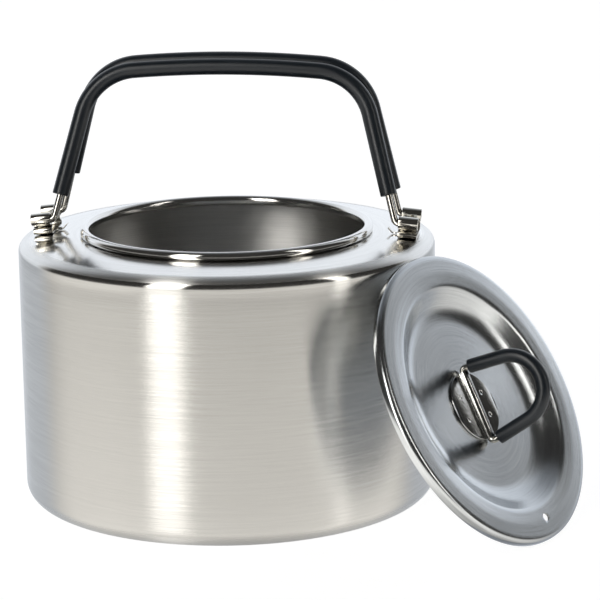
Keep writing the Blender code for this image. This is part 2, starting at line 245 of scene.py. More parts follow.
def unite(obj, tool, operation="UNION"):
    """Apply one Boolean to a piece and take its tool away."""
    boolean = obj.modifiers.new("join", "BOOLEAN")
    boolean.operation = operation
    boolean.object = tool
    bpy.context.view_layer.update()
    evaluated = obj.evaluated_get(bpy.context.evaluated_depsgraph_get())
    mesh = bpy.data.meshes.new_from_object(evaluated)
    obj.modifiers.clear()
    obj.data = mesh
    bpy.data.objects.remove(tool)


def settle(obj, body, node, material):
    """Let a finished piece ride on its body in the place of its CAD node, with its finish."""
    obj.data.materials.append(material)
    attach(obj, body)
    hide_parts(node)


# %% [markdown]
# Shader maths reads best as an ordinary expression. The class below wraps a node's output, and
# each Python operator adds the Math node that does it. Every other node comes from one method,
# which takes the node's kind, its settings and what goes into its inputs.


# %% Node arithmetic
class Value:
    """A shader socket that can be added, multiplied and so on like a number."""

    def __init__(self, tree, socket):
        self.tree = tree
        self.socket = socket

    def math(self, operation, *inputs):
        return self.tree.node("ShaderNodeMath", {"operation": operation}, dict(enumerate(inputs)))

    def __add__(self, other):
        return self.math("ADD", self, other)

    def __sub__(self, other):
        return self.math("SUBTRACT", self, other)

    def __rsub__(self, other):
        return self.math("SUBTRACT", other, self)

    def __mul__(self, other):
        return self.math("MULTIPLY", self, other)

    def __truediv__(self, other):
        return self.math("DIVIDE", self, other)

    def __pow__(self, other):
        return self.math("POWER", self, other)

    __radd__ = __add__
    __rmul__ = __mul__

    def root(self):
        return self.math("SQRT", self)

    def size(self):
        """The value without its sign."""
        return self.math("ABSOLUTE", self)

    def between(self, painted_low_light, high):
        """0 below low and 1 above high, with an eased step from one to the other."""
        settings = {"interpolation_type": "SMOOTHSTEP"}
        return self.tree.node("ShaderNodeMapRange", settings, {0: self, 1: painted_low_light, 2: high})


class Finish:
    """The node tree of a material, or of the world, with its shader ready to be set and linked."""

    def __init__(self, name, world=None):
        self.material = world or bpy.data.materials.new(name)
        self.material.use_nodes = True
        self.nodes = self.material.node_tree.nodes
        self.shader = self.nodes["Background" if world else "Principled BSDF"]

    def node(self, kind, settings=None, inputs=None, output=0):
        """Add a node: settings first, then each input's value or link, and hand back an output."""
        made = self.nodes.new(kind)
        for key, value in (settings or {}).items():
            setattr(made, key, value)
        for key, value in (inputs or {}).items():
            self.feed(made.inputs[key], value)
        return Value(self, made.outputs[output])

    def feed(self, socket, value):
        """Link a node's output to a socket, or give the socket a plain value."""
        if isinstance(value, Value):
            self.material.node_tree.links.new(value.socket, socket)
        else:
            socket.default_value = value

    def set(self, **inputs):
        """Feed the shader's inputs by name, with _ for a space."""
        for key, value in inputs.items():
            self.feed(self.shader.inputs[key.replace("_", " ").title()], value)

    def split(self, vector):
        """The x, y and z of a vector."""
        return [self.node("ShaderNodeSeparateXYZ", {}, {0: vector}, output) for output in range(3)]

    def place(self, centre=(0, 0, 0), turn=(0, 0, 0)):
        """Object coordinates seen from a centre and turn: x, y, z and distance from the axis."""
        coordinates = self.node("ShaderNodeTexCoord", output="Object")
        angles = [math.radians(angle) for angle in turn]
        local = self.node("ShaderNodeMapping", {"vector_type": "TEXTURE"}, {
            "Vector": coordinates, "Location": centre, "Rotation": angles})
        x, y, z = self.split(local)
        return x, y, z, (x * x + y * y).root()

    def noise(self, x, y, z, detail=3.0, roughness=0.55):
        """Noise from 0 to 1 at a point whose coordinates are given in pattern lengths."""
        point = self.node("ShaderNodeCombineXYZ", {}, {0: x, 1: y, 2: z})
        values = {"Vector": point, "Scale": 1.0, "Detail": detail, "Roughness": roughness}
        return self.node("ShaderNodeTexNoise", {}, values)

    def cloud(self, place, length, detail, roughness=0.55):
        """Noise with the same pattern length in every direction, at a place from place()."""
        return self.noise(*(value / length for value in place[:3]), detail, roughness)

    def mix(self, amount, painted_low_light, high):
        """Colour between two colours."""
        return self.node("ShaderNodeMix", {"data_type": "RGBA"}, {0: amount, 6: painted_low_light, 7: high}, 2)

    def bump(self, height, distance, strength=1.0):
        """Normal of a surface raised by height times distance."""
        values = {"Height": height, "Distance": distance, "Strength": strength}
        return self.node("ShaderNodeBump", {}, values)


# %% [markdown]
# Spun steel is brushed in rings. A noise that changes slowly round the axis and very fast across
# the rings gives those lines, and it has no seam because the slow part is read from x and y
# instead of an angle. The same noise drives the bump, the roughness and a faint tint, as one
# scratch does all three on real metal. The shader's own anisotropy then spreads each reflection
# across the lines, which gives the long upright highlights of a brushed wall.

# %% Steel
POT_COLOURS = ((0.54, 0.535, 0.515, 1), (0.78, 0.77, 0.75, 1))
LID_COLOURS = ((0.42, 0.437, 0.45, 1), (0.78, 0.805, 0.825, 1))
PLATE_COLOURS = ((0.50, 0.50, 0.49, 1), (0.78, 0.78, 0.77, 1))
BRACKET_COLOURS = ((0.56, 0.54, 0.49, 1), (0.82, 0.80, 0.75, 1))
WIRE_COLOURS = ((0.50, 0.48, 0.43, 1), (0.76, 0.74, 0.70, 1))
HOSE_COLOURS = ((0.006, 0.009, 0.013, 1), (0.015, 0.021, 0.029, 1))
SATIN_ROUGH = 0.20
SHINE_ROUGH = 0.09
LID_ROUGH = 0.17
PLATE_ROUGH = 0.07
BRACKET_ROUGH = 0.05
WIRE_ROUGH = 0.11
HOSE_ROUGH = 0.26
SCRATCH_HEIGHT = 0.02 * MM
POT_LINE_STEP = 0.36 * MM
LID_LINE_STEP = 0.2 * MM
RING_STRETCH = 26 * MM
SHINE_START = 10.0 * MM
SHINE_FULL = 4.0 * MM
POT_CLOUD = 40 * MM
POT_CLOUD_HEIGHT = 25 * MM
LID_CLOUD = 18 * MM
LID_PAINTED_SHEEN_ANGLE = 15.0
MARK_LENGTH = 2.5 * MM
PLATE_MARK_LENGTH = 3 * MM
PLATE_TILT_RIGHT = 0.24
PLATE_TILT_DROP = 0.19
DIMPLE_ALONG = 5.0
DIMPLE_ACROSS = 8.0
DIMPLE_EDGE = (0.6, 1.3)
GRAIN_LENGTH = 0.35 * MM
GRAIN_HEIGHT = 0.03 * MM
BLOOM_LENGTH = 9 * MM


def ring_lines(finish, x, y, across):
    """Brush lines in rings: noise that follows (x, y) slowly and the way across the rings quickly."""
    fine = finish.noise(x / RING_STRETCH, y / RING_STRETCH, across, detail=4.0, roughness=0.7)
    broad = finish.noise(x / (2 * RING_STRETCH), y / (2 * RING_STRETCH), across / 4, detail=3.0)
    return (fine * 0.7 + broad * 0.3).between(0.28, 0.72)


def pot_steel():
    """Satin wall and inside, with a polished shoulder and bead. The colour carries painted light:
    paler toward the bottom, and palest inside.
    """
    finish = Finish("pot_steel")
    x, y, z, radius = finish.place()
    lines = ring_lines(finish, x, y, (z + radius) / POT_LINE_STEP)
    top = z.between(POT_H - SHINE_START, POT_H - SHINE_FULL)
    inside = 1 - radius.between(POT_R - POT_SHEET, POT_R - POT_SHEET / 2)
    polished = top * (1 - inside * (1 - z.between(POT_H, POT_H + POT_SHEET / 2)))
    cloud = finish.noise(x / POT_CLOUD, y / POT_CLOUD, z / POT_CLOUD_HEIGHT, detail=2.0)
    satin = SATIN_ROUGH + 0.06 * lines + 0.11 * inside
    rough = (1 - polished) * satin + polished * (SHINE_ROUGH + 0.05 * cloud)
    # Painted light: the wall's colour grows paler toward the bottom, and the inside's colour is paler
    # all over.
    painted_low_light = 1 - z.between(0, 1.3 * POT_H)
    tone_and_painted_light = lines * 0.5 + cloud * 0.2 + painted_low_light * 0.3 + inside * 0.4
    height = lines * (1 - polished * 0.9) * (1 + 2 * inside)
    finish.set(base_color=finish.mix(tone_and_painted_light, *POT_COLOURS), metallic=1.0, roughness=rough)
    finish.set(anisotropic=1.0, anisotropic_rotation=0.25)
    finish.set(normal=finish.bump(height, SCRATCH_HEIGHT, 0.55))
    return finish.material


def lid_steel(centre, turn):
    """Spun lid: rings round its own axis, and a painted sheen in two pale wedges on opposite sides.

    The painted sheen is ((1 + cos 2(a - s)) / 2) squared, at the angle a round the axis, where
    r squared cos 2(a - s) = (x squared - y squared) cos 2s + 2xy sin 2s.
    """
    finish = Finish("lid_steel")
    place = finish.place(centre, turn)
    x, y, _, radius = place
    lines = ring_lines(finish, x, y, radius / LID_LINE_STEP)
    cloud = finish.cloud(place, LID_CLOUD, 2.0)
    # Painted sheen: the colour is paler in two opposite wedges round the lid's axis, at the sheen
    # angle.
    twice = 2 * LID_PAINTED_SHEEN_ANGLE
    double = (x * x - y * y) * cosd(twice) + x * y * (2 * sind(twice))
    painted_sheen = (0.5 + 0.5 * double / (radius * radius)) ** 2
    colour = finish.mix(lines * 0.3 + cloud * 0.1 + painted_sheen * 0.6, *LID_COLOURS)
    finish.set(base_color=colour, metallic=1.0, roughness=LID_ROUGH + 0.05 * lines)
    finish.set(normal=finish.bump(lines, SCRATCH_HEIGHT, 0.7))
    return finish.material


def bright_steel(name, colours, rough):
    """Polished steel with a faint cloud of handling marks."""
    finish = Finish(name)
    marks = finish.cloud(finish.place(), MARK_LENGTH, 5.0, 0.6)
    colour = finish.mix(marks, *colours)
    finish.set(base_color=colour, metallic=1.0, roughness=rough + 0.08 * marks)
    finish.set(normal=finish.bump(marks, SCRATCH_HEIGHT, 0.35))
    return finish.material


def plate_steel(matrix):
    """Polished plate, seen along its channel: each half tilts, the right one more than the left.

    Each half has two small weld dimples. Lengths here are in mm, like the bump's height.
    """
    finish = Finish("plate_steel")
    turn = [math.degrees(angle) for angle in matrix.to_euler()]
    place = finish.place(matrix.translation, turn)
    x, y = place[:2]
    across = y.size() / MM
    left = y.between(-1 * MM, 1 * MM)
    rise = across * (PLATE_TILT_RIGHT - PLATE_TILT_DROP * left)
    apart = ((x.size() / MM - DIMPLE_ALONG) ** 2 + (across - DIMPLE_ACROSS) ** 2).root()
    dimple = apart.between(*DIMPLE_EDGE)
    marks = finish.cloud(place, PLATE_MARK_LENGTH, 4.0)
    colour = finish.mix(marks, *PLATE_COLOURS)
    finish.set(base_color=colour, metallic=1.0, roughness=PLATE_ROUGH + 0.10 * marks)
    finish.set(normal=finish.bump(rise + dimple * 0.25 + marks * 0.1, MM, 1.0))
    return finish.material


def hose_rubber():
    """Black hose: a faint bloom on the ridges of a fine grain, dull but with a soft sheen."""
    finish = Finish("hose")
    place = finish.place()
    grain = finish.cloud(place, GRAIN_LENGTH, 3.0)
    bloom = finish.cloud(place, BLOOM_LENGTH, 4.0)
    finish.set(base_color=finish.mix(grain * 0.4 + bloom * 0.6, *HOSE_COLOURS))
    finish.set(roughness=HOSE_ROUGH + 0.16 * bloom, metallic=0.0)
    finish.set(normal=finish.bump(grain, GRAIN_HEIGHT, 0.4))
    return finish.material


# %% [markdown]
# The pot is one drawn sheet. Its bead is rolled outward, so the sheet climbs the neck, goes over
# the top and comes down outside until it nearly meets the shoulder. Turning one line round Z
# gives all of it; the line is drawn in the middle of the sheet and thickened to both sides.

# %% Pot
pot_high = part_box("kettle_body")[1]
POT_R = pot_high.x
POT_H = 113.5 * MM
POT_SHEET = 0.8 * MM
BASE_FILLET = 7.5 * MM
SHOULDER_FILLET = 4.2 * MM
EDGE_SLOPE = 7.5
MOUTH_SLOPE = 0.6
BEAD_TUBE_R = 2.1 * MM
BEAD_R = 61.3 * MM
BEAD_Z = pot_high.z - BEAD_TUBE_R
BEAD_END_ANGLE = -22
NECK_FILLET = 1.0 * MM
crown_in = BEAD_R - BEAD_TUBE_R + POT_SHEET / 2 + NECK_FILLET
crown_out = POT_R - SHOULDER_FILLET * (1 - sind(EDGE_SLOPE))
crown_radius = (crown_out - crown_in) / (sind(EDGE_SLOPE) - sind(MOUTH_SLOPE))
crown_axis = crown_out - crown_radius * sind(EDGE_SLOPE)
crown_z = POT_H - SHOULDER_FILLET + (SHOULDER_FILLET - crown_radius) * cosd(EDGE_SLOPE)


def shoulder_z(radius):
    """Height of the crowned shoulder: crown centre + sqrt(R squared - distance squared)."""
    return crown_z + math.sqrt(crown_radius ** 2 - (radius - crown_axis) ** 2)


def pot_line():
    """Middle of the pot's sheet from the centre of its bottom to the free edge of the bead."""
    half = POT_SHEET / 2
    bottom = np.column_stack([np.linspace(0, POT_R - BASE_FILLET, 14), np.full(14, half)])
    base = arc((POT_R - BASE_FILLET, BASE_FILLET), BASE_FILLET - half, -90, 0, 12)
    fillet = (POT_R - SHOULDER_FILLET, POT_H - SHOULDER_FILLET)
    edge = arc(fillet, SHOULDER_FILLET - half, 0, 90 - EDGE_SLOPE, 10)
    wall = np.column_stack([np.full(10, POT_R - half), np.linspace(BASE_FILLET, edge[0][1], 10)])
    crown = arc((crown_axis, crown_z), crown_radius - half, 90 - EDGE_SLOPE, 90 - MOUTH_SLOPE, 16)
    neck_z = shoulder_z(crown_in) - half + NECK_FILLET
    neck = arc((crown_in, neck_z), NECK_FILLET, 270 - MOUTH_SLOPE, 180, 6)
    bead = arc((BEAD_R, BEAD_Z), BEAD_TUBE_R - half, 180, BEAD_END_ANGLE, 22)
    return np.vstack([bottom, base[1:], wall[1:-1], edge, crown[1:], neck[1:], bead])


pot = piece("pot", turned(sheet_loop(pot_line(), POT_SHEET)))
settle(pot, "pot", "kettle_body", pot_steel())

# %% [markdown]
# Each hinge is one stamped strip. It lies on the shoulder, turns back over itself, rises and
# curls round the bail's foot. A flat section with softened corners, carried along the strip's
# middle line, keeps the sheet equally thick in every bend, as a press does. The tongue is a hair
# thinner than the strip, so that no two faces lie in one plane where the Boolean joins them.

# %% Hinge strips
HINGE_X = 79.5 * MM
HINGE_WIDTH = 8.3 * MM
STRIP_SHEET = 0.5 * MM
STRIP_BEND = 1.2 * MM
STRIP_EDGE = 0.12 * MM
TONGUE_WIDTH = 3.6 * MM
TONGUE_SHEET = 0.48 * MM
TONGUE_ROOT = 0.5 * MM
TONGUE_FLAT = 3.0 * MM
TONGUE_BEND = 1.0 * MM
TONGUE_RISE = 2.6 * MM
TONGUE_TILT = 45
SEAT_GAP = 0.3 * MM
WIRE_PLAY = 0.25 * MM
BAIL_WIRE_R = 1.5 * MM
EYE_END = -122
front_axis = Vector(joints["front_bail_fold"]["pos_m"])
rear_axis = Vector(joints["rear_bail_fold"]["pos_m"])
HINGE_Y = rear_axis.y
HINGE_Z = rear_axis.z
hinge_lift = HINGE_Z - shoulder_z(HINGE_X)
hinge_slope = math.degrees(math.asin((HINGE_X - crown_axis) / crown_radius))
print("hinge axis above the shoulder", round(hinge_lift / MM, 2), "mm, slope", round(hinge_slope, 2))


def soft_box(width, sheet, corner):
    """Section of a strip: a width x sheet rectangle whose corners are quarter circles."""
    quarters = [
        arc((width / 2 - corner, sheet / 2 - corner), corner, 0, 90, 4),
        arc((corner - width / 2, sheet / 2 - corner), corner, 90, 180, 4),
        arc((corner - width / 2, corner - sheet / 2), corner, 180, 270, 4),
        arc((width / 2 - corner, corner - sheet / 2), corner, 270, 360, 4),
    ]
    return np.vstack(quarters)


def strip(path, section):
    """Flat section (across, thick) carried along a (u, v) line: u, v plus thick times normal."""
    normals = normals_of(path)
    grid = np.stack([
        np.broadcast_to(section[:, 0], (len(path), len(section))),
        path[:, 0][:, None] + section[:, 1] * normals[:, 0][:, None],
        path[:, 1][:, None] + section[:, 1] * normals[:, 1][:, None],
    ], axis=-1)
    return capped(grid)


def strip_line():
    """Middle line of the strip over both eyes, and the height of its base."""
    eye = BAIL_WIRE_R + WIRE_PLAY + HINGE_WIDTH / 2 * math.tan(math.radians(hinge_slope))
    curl = eye + STRIP_SHEET / 2
    base_z = SEAT_GAP + STRIP_SHEET / 2 - hinge_lift * cosd(hinge_slope)
    riser = HINGE_Y - curl
    out = arc((riser + STRIP_BEND, base_z + STRIP_BEND), STRIP_BEND, -90, 90, 14)
    back = arc((riser + STRIP_BEND, base_z + 3 * STRIP_BEND), STRIP_BEND, 270, 180, 8)
    eye_curl = arc((HINGE_Y, 0), curl, 180, EYE_END, 40)
    half = np.vstack([out, back[1:], eye_curl])
    return np.vstack([half[::-1] * (-1, 1), half]), base_z


def hinge_strip(name, side, node, material):
    """Strip and tongue of one side, joined into one solid."""
    line, base_z = strip_line()
    bracket = piece(name, strip(line, soft_box(HINGE_WIDTH, STRIP_SHEET, STRIP_EDGE)))
    root = TONGUE_ROOT - HINGE_WIDTH / 2
    knee = -HINGE_WIDTH / 2 - TONGUE_FLAT
    tip = (knee - TONGUE_RISE * cosd(TONGUE_TILT), base_z + TONGUE_RISE * sind(TONGUE_TILT))
    tongue_line = rounded([(root, base_z), (knee, base_z), tip], [TONGUE_BEND])
    grid = strip(tongue_line, soft_box(TONGUE_WIDTH, TONGUE_SHEET, STRIP_EDGE))
    tongue = piece(name + "_tongue", grid[:, :, [1, 0, 2]])
    unite(bracket, tongue)
    place = placing((side * HINGE_X, 0, HINGE_Z), (0, hinge_slope, 0 if side > 0 else 180))
    bracket.data.transform(place)
    settle(bracket, "pot", node, material)


bracket_metal = bright_steel("bracket_steel", BRACKET_COLOURS, BRACKET_ROUGH)
hinge_strip("right_hinge", 1, "right_hinge_bracket", bracket_metal)
hinge_strip("left_hinge", -1, "left_hinge_bracket", bracket_metal)

# %% [markdown]
# A bail is one bent wire: a foot turned outward into its eye, a straight leg that leans inward, a
# tight shoulder bend and a long flat bow. Both bails have the same line. The hose is the same
# line again, cut to its own length, with a bore for the wire and softened ends.

# %% Bails
BAIL_HEIGHT = 66.5 * MM
BAIL_SPREAD = 74.0 * MM
BAIL_LEAN = 14.06
BAIL_FOOT_BEND = 2.2 * MM
BAIL_CORNER = 25.0 * MM
BAIL_BOW = 490.0 * MM
HOSE_R = 3.5 * MM
HOSE_EDGE = 0.35 * MM
WIRE_EDGE = 0.25 * MM
BAIL_WIRE_STEP = 0.9 * MM
BAIL_HOSE_STEP = 1.2 * MM
FRONT_BARE = (11.4 * MM, 10.2 * MM)
REAR_BARE = (10.1 * MM, 16.7 * MM)
REAR_TILT = 3.3
BAIL_REST_GAP = 0.3 * MM
BORE_PLAY = 0.4 * MM
FOOT_PLAY = 0.4 * MM


def mirrored(half):
    """Whole line from its half, which ends on x = 0."""
    return np.vstack([half, half[-2::-1] * (-1, 1)])


def bail_line():
    """Foot, leg, corner and bow. The corner's centre lies its own radius inside leg and bow."""
    up = np.array([-sind(BAIL_LEAN), cosd(BAIL_LEAN)])
    foot_end = np.array([HINGE_X + HINGE_WIDTH / 2 - FOOT_PLAY, 0])
    spread = np.array([BAIL_SPREAD, 0])
    foot = corner_arc(foot_end, spread, spread + up * MM, BAIL_FOOT_BEND, 12)
    bow_centre = np.array([0, BAIL_HEIGHT - BAIL_BOW])
    base = spread - BAIL_CORNER * np.array([cosd(BAIL_LEAN), sind(BAIL_LEAN)])
    away = base - bow_centre
    along = away @ up
    rise = -along + math.sqrt(along ** 2 - away @ away + (BAIL_BOW - BAIL_CORNER) ** 2)
    centre = base + up * rise
    meet = math.degrees(math.atan2(centre[1] - bow_centre[1], centre[0]))
    corner = arc(centre, BAIL_CORNER, BAIL_LEAN, meet, 30)
    bow = arc(bow_centre, BAIL_BOW, meet, 90, 24)
    return mirrored(np.vstack([foot_end, foot, corner, bow[1:]]))


def rounded_ends(path, radius, corner):
    """Line and radii of a rod whose end edges are rounded, closed at both ends.

    Halfway round, a quarter circle of radius c lies about 0.3 c from both faces. The end points
    move out by a hair, so that no two points coincide and each has a direction.
    """
    lengths = lengths_of(path)
    depth = np.array([0, 0, 0.3, 1.0]) * corner
    reach = np.array([0, 1 - corner / radius, 1 - 0.3 * corner / radius, 1]) * radius
    at = np.concatenate([depth, lengths[3:-3], lengths[-1] - depth[::-1]])
    radii = np.concatenate([reach, np.full(len(lengths) - 6, radius), reach[::-1]])
    line = at_lengths(path, at)
    line[0] += (path[0] - path[1]) * 1e-6
    line[-1] += (path[-1] - path[-2]) * 1e-6
    return line, radii


def rod(name, path, radius, sides, matrix):
    """Wire with softly cut ends."""
    line, radii = rounded_ends(path, radius, WIRE_EDGE)
    return piece(name, placed(tube(line, radii, sides), matrix))


def hose(name, path, radius, bore, sides, matrix):
    """Hose: outer surface between two softened rims, and the bore back to the start."""
    lengths = lengths_of(path)
    total = lengths[-1]
    rim = HOSE_EDGE * (1 - np.sin(np.radians(np.linspace(90, 0, 5))))
    outer_at = np.sort(np.concatenate([rim, lengths[1:-1], total - rim]))
    depth = np.clip(HOSE_EDGE - np.minimum(outer_at, total - outer_at), 0, HOSE_EDGE)
    drop = HOSE_EDGE - np.sqrt(HOSE_EDGE ** 2 - depth ** 2)
    at = np.concatenate([outer_at, lengths[::-1]])
    radii = np.concatenate([radius - drop, np.full(len(lengths), bore)])
    grid = tube(at_lengths(path, at), radii, sides, at_lengths(path, at, normals_of(path)))
    return piece(name, placed(grid, matrix), ring_rows=True)


def front_tilt():
    """Lean at which the front hose meets the rear one, by the cosine rule."""
    rear_top = np.array([2 * HINGE_Y + BAIL_HEIGHT * sind(REAR_TILT), BAIL_HEIGHT * cosd(REAR_TILT)])
    apart = 2 * HOSE_R + BAIL_REST_GAP
    reach = np.linalg.norm(rear_top)
    cosine = (reach ** 2 + BAIL_HEIGHT ** 2 - apart ** 2) / (2 * reach * BAIL_HEIGHT)
    return math.degrees(math.atan2(rear_top[0], rear_top[1]) - math.acos(cosine))


wire_metal = bright_steel("wire_steel", WIRE_COLOURS, WIRE_ROUGH)
rubber = hose_rubber()


def bail(name, axis, tilt, bare):
    """Wire and hose of one bail. The legs are bare up to two heights, right and left."""
    matrix = placing(axis, (-tilt, 0, 0))
    line = bail_line()
    total = lengths_of(line)[-1]
    wire = rod(name + "_rod", stretch(line, 0, total, BAIL_WIRE_STEP), BAIL_WIRE_R, 24, matrix)
    settle(wire, name, name + "_wire", wire_metal)
    foot = HINGE_X + HINGE_WIDTH / 2 - FOOT_PLAY - BAIL_SPREAD
    start, end = (foot + height / cosd(BAIL_LEAN) for height in bare)
    sleeve = stretch(line, start, total - end, BAIL_HOSE_STEP)
    grip = hose(name + "_hose", sleeve, HOSE_R, BAIL_WIRE_R + BORE_PLAY, 32, matrix)
    settle(grip, name, name + "_grip", rubber)


bail("front_bail", front_axis, front_tilt(), FRONT_BARE)
bail("rear_bail", rear_axis, REAR_TILT, REAR_BARE)

# %% [markdown]
# The lid is pressed with a raised ring and a sunken floor, which stiffen thin sheet, and a short
# skirt that slips over the bead. It leans on the pot, so its place is found from the joint of
# its own handle, which the frame gives.

# %% Lid
LID_LEAN_ANGLE = 59.55
LID_FACING_ANGLE = 63.75
LID_SHEET = 0.5 * MM
LID_SKIRT = 4.0 * MM
LID_FILLET = 2.2 * MM
LID_PLAY = 0.3 * MM
LID_DEPTH = 7.3 * MM
LID_FLOOR_R = 41.0 * MM
LID_SLOPE_R = 50.0 * MM
LID_CREST_R = 56.0 * MM
LID_CREST_DROP = 0.4 * MM
LID_EDGE_DROP = 0.1 * MM
LID_BENDS = (15.0 * MM, 3.5 * MM, 30.0 * MM)
LID_STEP = 0.8 * MM
LID_R = BEAD_R + BEAD_TUBE_R + LID_PLAY + LID_SHEET
VENT_R = 1.75 * MM
VENT_INSET = 8.9 * MM
VENT_ANGLE = -89.7
DRILL_REACH = 2.0 * MM
HANDLE_WIRE_R = 1.3 * MM
PLATE_ASIDE = 0.7 * MM
PLATE_DROP = 1.5 * MM
handle_axis_height = SEAT_GAP + HANDLE_WIRE_R
lid_turn = (LID_LEAN_ANGLE, 0, LID_FACING_ANGLE)
lid_rotation = placing((0, 0, 0), lid_turn)
handle_place = Vector(joints["lid_handle_fold"]["pos_m"])
handle_in_lid = Vector((-PLATE_ASIDE, -PLATE_DROP, handle_axis_height - LID_DEPTH))
lid_centre = handle_place - lid_rotation @ handle_in_lid
lid_matrix = Matrix.Translation(lid_centre) @ lid_rotation
print("lid centre", [round(value / MM, 2) for value in lid_centre], "mm")


def lid_line():
    """Middle of the lid's sheet from its centre: floor, slope, crest, ring, rim and skirt."""
    half = LID_SHEET / 2
    outer = LID_R - half
    points = [
        (0, -LID_DEPTH - half),
        (LID_FLOOR_R, -LID_DEPTH - half),
        (LID_SLOPE_R, -LID_CREST_DROP - half),
        (LID_CREST_R, -half),
        (outer, -half - LID_EDGE_DROP),
        (outer, -LID_SKIRT),
    ]
    line = rounded(points, [*LID_BENDS, LID_FILLET - half], 12)
    return stretch(line, 0, lengths_of(line)[-1], LID_STEP)


def make_lid():
    """Turn the lid's line, lay it in its place, and drill the steam vent in the ring."""
    shell = piece("lid_sheet", placed(turned(sheet_loop(lid_line(), LID_SHEET)), lid_matrix))
    reach = LID_R - VENT_INSET
    vent = Vector((reach * cosd(VENT_ANGLE), reach * sind(VENT_ANGLE), 0))
    line = np.array([(0, -1.0), (0, -0.9995), (0, 0.9995), (0, 1.0)]) * DRILL_REACH
    radii = np.array([0, VENT_R, VENT_R, 0])
    grid = tube(line, radii, 32)
    drill = piece("vent_drill", placed(grid, lid_matrix @ Matrix.Translation(vent)))
    unite(shell, drill, "DIFFERENCE")
    settle(shell, "lid", "lid_shell", lid_steel(lid_centre, lid_turn))


make_lid()

# %% [markdown]
# The handle turns in a channel pressed across a round plate, which is spot-welded to the floor.
# The plate is the same soft section as the hinge strips, but its width follows the disc: at a
# distance x from the middle it is as wide as the chord there, 2 sqrt(R squared - x squared).

# %% Lid handle
PLATE_R = 14.9 * MM
PLATE_SHEET = 0.6 * MM
HANDLE_ANGLE = 84.0
HANDLE_TILT = 12.6
HANDLE_HEIGHT = 30.6 * MM
HANDLE_LEAN = 7.9
HANDLE_FOOT = 9.0 * MM
HANDLE_BEND = 1.6 * MM
GRIP_R = 2.95 * MM
GRIP_START = 3.0 * MM
PLATE_TRIM = 0.02 * MM
TOE_START = 0.6 * MM
TOE_BEND = 0.35 * MM
LOOP_WIRE_STEP = 0.6 * MM
LOOP_HOSE_STEP = 0.8 * MM
LEAST_CHORD = 0.01 * MM
plate_spot = (-PLATE_ASIDE, -PLATE_DROP, -LID_DEPTH)
plate_matrix = lid_matrix @ placing(plate_spot, (0, 0, HANDLE_ANGLE))
handle_matrix = plate_matrix @ placing((0, 0, handle_axis_height), (HANDLE_TILT, 0, 0))


def plate_grid():
    """Disc plate: section of chord width carried over flat, channel and flat."""
    channel = HANDLE_WIRE_R + WIRE_PLAY + PLATE_SHEET / 2
    flat = SEAT_GAP + PLATE_SHEET / 2
    left = np.linspace(PLATE_TRIM - PLATE_R, -channel - TOE_START, 30)
    left = np.column_stack([left, np.full(30, flat)])
    foot = np.array([-channel, flat])
    toe = corner_arc(left[-1], foot, foot + (0, MM), TOE_BEND, 6)
    arch = arc((0, handle_axis_height), channel, 180, 90, 16)
    line = mirrored(np.vstack([left, toe, arch]))
    section = soft_box(2.0, PLATE_SHEET, STRIP_EDGE)
    across = np.sign(section[:, 0])
    inset = np.abs(section[:, 0]) - 1.0
    chord = np.sqrt(np.clip(PLATE_R ** 2 - line[:, 0] ** 2, 0, None))[:, None]
    normals = normals_of(line)
    along = across * np.clip(chord + inset, LEAST_CHORD, None)
    x = line[:, 0][:, None] + section[:, 1] * normals[:, 0][:, None]
    z = line[:, 1][:, None] + section[:, 1] * normals[:, 1][:, None]
    return capped(np.stack([along, x, z], axis=-1))


def handle_line():
    """Foot turned inward, leg, and loop whose radius follows from spread, lean and height."""
    spread = PLATE_R + SEAT_GAP + HANDLE_WIRE_R
    up = np.array([-sind(HANDLE_LEAN), cosd(HANDLE_LEAN)])
    foot_end = np.array([PLATE_R - HANDLE_FOOT, 0])
    knee = np.array([spread, 0])
    foot = corner_arc(foot_end, knee, knee + up * MM, HANDLE_BEND, 12)
    reach = spread * cosd(HANDLE_LEAN) - HANDLE_HEIGHT * sind(HANDLE_LEAN)
    radius = reach / (1 - sind(HANDLE_LEAN))
    loop = arc((0, HANDLE_HEIGHT - radius), radius, HANDLE_LEAN, 90, 30)
    return mirrored(np.vstack([foot_end, foot, loop]))


plate = piece("lid_plate", placed(plate_grid(), plate_matrix))
settle(plate, "lid", "lid_handle_plate", plate_steel(plate_matrix))
loop_line = handle_line()
loop_length = lengths_of(loop_line)[-1]
wire_line = stretch(loop_line, 0, loop_length, LOOP_WIRE_STEP)
loop_wire = rod("lid_handle_rod", wire_line, HANDLE_WIRE_R, 20, handle_matrix)
settle(loop_wire, "lid_handle", "lid_handle_wire", wire_metal)
grip_start = HANDLE_FOOT + GRIP_START + HANDLE_WIRE_R
grip_line = stretch(loop_line, grip_start, loop_length - grip_start, LOOP_HOSE_STEP)
loop_grip = hose("lid_handle_hose", grip_line, GRIP_R, HANDLE_WIRE_R + BORE_PLAY, 28, handle_matrix)
settle(loop_grip, "lid_handle", "lid_handle_grip", rubber)

# %% [markdown]
# Steel looks like what is round it, so the room is drawn as a picture of directions. Below the
# horizon lies a pale table, above it in front a dark room with two tall soft boxes, and behind
# the kettle a bluish backdrop that darkens toward the ceiling. The azimuth is 0 toward the camera
# and grows to the right: azimuth = atan2(right, toward the camera). Heights are given as z of the
# direction, which is the sine of its elevation. One weak area light stands where the left box
# does, for the soft shadow.

